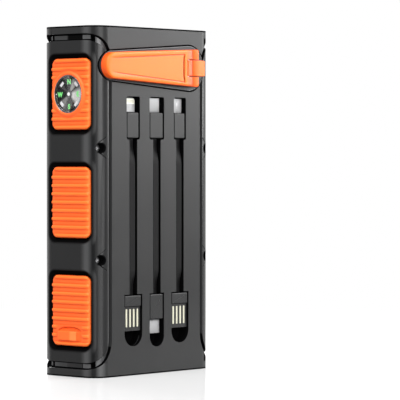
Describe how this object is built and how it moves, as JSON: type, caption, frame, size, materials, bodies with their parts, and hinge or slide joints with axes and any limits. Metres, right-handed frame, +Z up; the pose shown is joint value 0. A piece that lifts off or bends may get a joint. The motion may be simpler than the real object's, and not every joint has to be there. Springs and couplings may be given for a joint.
{
  "type": "hand crank phone charger",
  "caption": "Pocket charger with a folding hand crank, clip-in leads, a solar panel at the back, ribbed grip pads, a compass and a covered side port.",
  "frame": {"origin": "centre of the base's flat end face, on which the charger stands upright", "axes": "+Z up the case towards the crank end, -Y the face with the crank and the leads, +Y the solar panel, -X the compass side, +X the power button side"},
  "size_m": [0.0808, 0.0403, 0.16],
  "materials": {
    "case_plastic": "fine grained",
    "guard_plastic": "satin",
    "pad_rubber": "soft matte",
    "crank_plastic": "satin",
    "solar_cell": "glossy, fine lines",
    "lens_plastic": "clear tinted",
    "clear_lens": "clear",
    "dial_plastic": "printed",
    "button_plastic": "soft",
    "seal_rubber": "matte",
    "cable_rubber": "matte",
    "grip_plastic": "satin",
    "plug_metal": "drawn",
    "tongue_plastic": "moulded",
    "contact_metal": "plated",
    "steel": "machined",
    "brass": "machined",
    "copper": "enamelled wire",
    "gear_plastic": "moulded",
    "cell_foil": "foil",
    "board_laminate": "coated",
    "part_plastic": "moulded"
  },
  "bodies": {
    "case": {"front_shell": "case_plastic", "case_seal": "seal_rubber", "back_shell": "case_plastic", "solar_panel": "solar_cell", "indicator_lenses": "lens_plastic", "indicator_board": "board_laminate", "left_bumper": "guard_plastic", "right_bumper": "guard_plastic", "compass_pad": "pad_rubber", "left_middle_pad": "pad_rubber", "right_middle_pad": "pad_rubber", "right_lower_pad": "pad_rubber", "power_pad": "pad_rubber", "case_screws": "steel", "gearbox_screws": "steel", "board_screws": "steel", "compass_cup": "dial_plastic", "compass_pivot": "steel", "compass_lens": "clear_lens", "button_board": "board_laminate", "tactile_switch": "part_plastic", "crank_bush": "brass", "gear_axles": "steel", "gearbox_plate": "gear_plastic", "generator_can": "steel", "generator_stator": "steel", "generator_coils": "copper", "battery_cells": "cell_foil", "main_board": "board_laminate", "board_parts": "part_plastic", "usb_a_port": "steel", "usb_c_port": "steel"},
    "crank": {"crank_arm": "crank_plastic", "crank_shaft": "steel", "crank_gear": "gear_plastic", "knob_pin": "steel"},
    "knob": {"crank_knob": "crank_plastic"},
    "first_gear": {"first_stage_gear": "gear_plastic"},
    "second_gear": {"second_stage_gear": "gear_plastic"},
    "rotor": {"generator_rotor": "steel"},
    "compass": {"compass_card": "dial_plastic"},
    "button": {"power_button": "button_plastic"},
    "cover": {"port_cover": "pad_rubber"},
    "lead_left": {"lead_left_top_grip": "grip_plastic", "lead_left_top_plug": "plug_metal", "lead_left_cable": "cable_rubber", "lead_left_bottom_grip": "grip_plastic", "lead_left_bottom_plug": "tongue_plastic", "lead_left_contacts": "contact_metal"},
    "lead_middle": {"lead_middle_top_grip": "grip_plastic", "lead_middle_top_plug": "plug_metal", "lead_middle_cable": "cable_rubber", "lead_middle_bottom_grip": "grip_plastic", "lead_middle_bottom_plug": "plug_metal"},
    "lead_right": {"lead_right_top_grip": "grip_plastic", "lead_right_top_plug": "plug_metal", "lead_right_cable": "cable_rubber", "lead_right_bottom_grip": "grip_plastic", "lead_right_bottom_plug": "tongue_plastic", "lead_right_contacts": "contact_metal"}
  },
  "joints": [
    {"name": "crank_spin", "type": "hinge", "parent": "case", "child": "crank", "pos_m": [-0.0295, -0.0203, 0.1419], "axis": [0, -1, 0], "continuous": true},
    {"name": "knob_fold", "type": "hinge", "parent": "crank", "child": "knob", "pos_m": [0.0195, -0.0203, 0.1419], "axis": [0, 0, -1], "range_deg": [0, 90]},
    {"name": "first_gear_spin", "type": "hinge", "parent": "case", "child": "first_gear", "pos_m": [-0.0215, -0.011, 0.1419], "axis": [0, -1, 0], "continuous": true},
    {"name": "second_gear_spin", "type": "hinge", "parent": "case", "child": "second_gear", "pos_m": [-0.01017, -0.0085, 0.1439], "axis": [0, -1, 0], "continuous": true},
    {"name": "rotor_spin", "type": "hinge", "parent": "case", "child": "rotor", "pos_m": [0.00115, -0.003, 0.1419], "axis": [0, -1, 0], "continuous": true},
    {"name": "compass_turn", "type": "hinge", "parent": "case", "child": "compass", "pos_m": [-0.0382, 0, 0.129], "axis": [-1, 0, 0], "continuous": true},
    {"name": "power_press", "type": "slide", "parent": "case", "child": "button", "axis": [-1, 0, 0], "range_m": [0, 0.0005], "stiffness_N_per_m": 800, "springref_m": -0.0005},
    {"name": "cover_open", "type": "hinge", "parent": "case", "child": "cover", "pos_m": [-0.0395, 0, 0.04635], "axis": [0, 1, 0], "range_deg": [0, 100]},
    {"name": "lead_left_lift", "type": "slide", "parent": "case", "child": "lead_left", "axis": [0, -1, 0], "range_m": [0, 0.012]},
    {"name": "lead_middle_lift", "type": "slide", "parent": "case", "child": "lead_middle", "axis": [0, -1, 0], "range_m": [0, 0.012]},
    {"name": "lead_right_lift", "type": "slide", "parent": "case", "child": "lead_right", "axis": [0, -1, 0], "range_m": [0, 0.012]}
  ],
  "couplings": [
    {"joint": "first_gear_spin", "follows": "crank_spin", "ratio": -2.2},
    {"joint": "second_gear_spin", "follows": "crank_spin", "ratio": 7.92},
    {"joint": "rotor_spin", "follows": "crank_spin", "ratio": -28.512}
  ]
}
